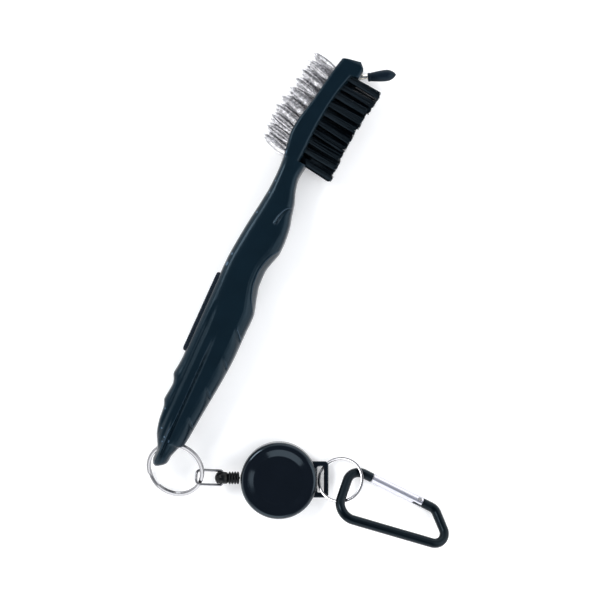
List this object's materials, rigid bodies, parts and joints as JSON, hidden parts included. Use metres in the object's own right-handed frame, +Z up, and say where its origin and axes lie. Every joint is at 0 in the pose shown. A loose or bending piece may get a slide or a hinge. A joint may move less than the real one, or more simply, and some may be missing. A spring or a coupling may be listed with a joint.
{
  "type": "club groove brush",
  "caption": "Two-sided club cleaning brush with wire and nylon tufts, capped groove spike, split ring, retractable cord reel and carabiner clip.",
  "frame": {"origin": "centre of the brush head's flat side face that rests on the table", "axes": "+X along the handle towards the head, +Y towards the wire tufts, +Z up"},
  "size_m": [0.1928, 0.1349, 0.018],
  "materials": {
    "navy_plastic": "satin",
    "grip_rubber": "matte",
    "nylon": "satin",
    "wire": "satin",
    "pin_steel": "polished",
    "cap_plastic": "satin",
    "nickel": "polished",
    "reel_plastic": "gloss",
    "black_plastic": "satin",
    "cord": "braided",
    "spring_steel": "satin",
    "inner_plastic": "satin",
    "black_aluminium": "anodised",
    "silver_aluminium": "anodised",
    "brass": "satin"
  },
  "bodies": {
    "brush": {"handle_body": "navy_plastic", "back_grip_pad": "grip_rubber", "groove_spike": "pin_steel", "wire_tufts": "wire", "nylon_tufts": "nylon", "wire_anchors": "brass", "nylon_anchors": "brass"},
    "spike_cap": {"spike_cap": "cap_plastic"},
    "key_ring": {"handle_split_ring": "nickel"},
    "link": {"wire_link": "nickel"},
    "cord_end": {"cord_end_stop": "black_plastic", "strain_relief": "black_plastic", "cord_lead": "cord"},
    "reel": {"reel_front_cover": "reel_plastic", "reel_back_cover": "reel_plastic", "reel_screw": "nickel", "cord_guide": "inner_plastic", "cord_run": "cord", "power_spring": "spring_steel"},
    "spool": {"reel_spool": "inner_plastic", "wound_cord": "cord"},
    "strap_ring": {"reel_split_ring": "nickel"},
    "carabiner": {"carabiner_frame": "black_aluminium", "gate_rivet": "nickel"},
    "gate": {"carabiner_gate": "silver_aluminium", "gate_spring": "spring_steel", "gate_plunger": "brass"}
  },
  "joints": [
    {"name": "cap_pull", "type": "slide", "parent": "brush", "child": "spike_cap", "axis": [0.5, -0.866, 0], "range_m": [0, 0.02]},
    {"name": "ring_swing", "type": "hinge", "parent": "brush", "child": "key_ring", "pos_m": [-0.15065, 0, 0.0084], "axis": [0.6159, -0.7878, 0], "range_deg": [0, 85]},
    {"name": "link_slide", "type": "hinge", "parent": "key_ring", "child": "link", "pos_m": [-0.1576, -0.006, 0.0057], "axis": [-0.4205, 0.0421, 0.9063], "range_deg": [-40, 40]},
    {"name": "end_stop_swing", "type": "hinge", "parent": "link", "child": "cord_end", "pos_m": [-0.15306, -0.02465, 0.00545], "axis": [0.8923, 0.3787, -0.2457], "range_deg": [-40, 50]},
    {"name": "cord_pull", "type": "slide", "parent": "cord_end", "child": "reel", "axis": [0.4115, -0.9114, 0], "range_m": [0, 0.42], "stiffness_N_per_m": 1, "springref_m": -1},
    {"name": "spool_turn", "type": "hinge", "parent": "reel", "child": "spool", "pos_m": [-0.1445, -0.0458, 0.00545], "axis": [0, 0, 1], "range_deg": [0, 2770]},
    {"name": "reel_ring_swing", "type": "hinge", "parent": "reel", "child": "strap_ring", "pos_m": [-0.13666, -0.06316, 0.00305], "axis": [0.9114, 0.4115, 0], "range_deg": [-15, 25]},
    {"name": "carabiner_turn", "type": "hinge", "parent": "strap_ring", "child": "carabiner", "pos_m": [-0.13416, -0.06832, 0.00555], "axis": [0.2428, 0.3472, 0.9058], "range_deg": [-25, 25]},
    {"name": "gate_open", "type": "hinge", "parent": "carabiner", "child": "gate", "pos_m": [-0.12925, -0.10089, 0.0023], "axis": [0.5387, -0.0375, 0.8417], "range_deg": [0, 30], "stiffness_Nm_per_rad": 0.02, "springref_deg": -34.38}
  ],
  "couplings": [
    {"joint": "spool_turn", "follows": "cord_pull", "rad_per_m": 115}
  ]
}
